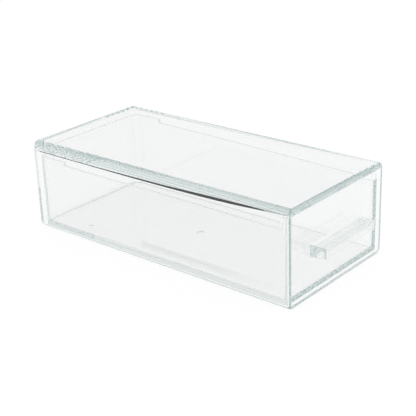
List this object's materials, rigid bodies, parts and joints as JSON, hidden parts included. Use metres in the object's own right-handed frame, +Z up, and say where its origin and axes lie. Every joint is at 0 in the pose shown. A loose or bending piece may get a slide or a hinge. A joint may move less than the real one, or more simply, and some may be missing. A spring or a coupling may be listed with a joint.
{
  "type": "storage drawer unit",
  "caption": "Clear moulded storage unit: a box-shaped sleeve, open at the front, that holds one sliding drawer tray with a raised front panel and a bar handle.",
  "frame": {"origin": "middle of the sleeve's underside, on the surface that the unit stands on", "axes": "+Z up, +Y from the drawer front towards the closed back, +X to the right seen from the front"},
  "size_m": [0.15, 0.3315, 0.094],
  "materials": {
    "sleeve_plastic": "polished clear moulding, faint green-grey tint at the edges",
    "tray_plastic": "polished clear moulding",
    "handle_plastic": "polished clear moulding, thick section"
  },
  "bodies": {
    "sleeve": {"sleeve": "sleeve_plastic"},
    "drawer": {"drawer_tray": "tray_plastic", "bar_handle": "handle_plastic"}
  },
  "joints": [
    {"name": "drawer_slide", "type": "slide", "parent": "sleeve", "child": "drawer", "axis": [0, -1, 0], "range_m": [0, 0.26]}
  ]
}
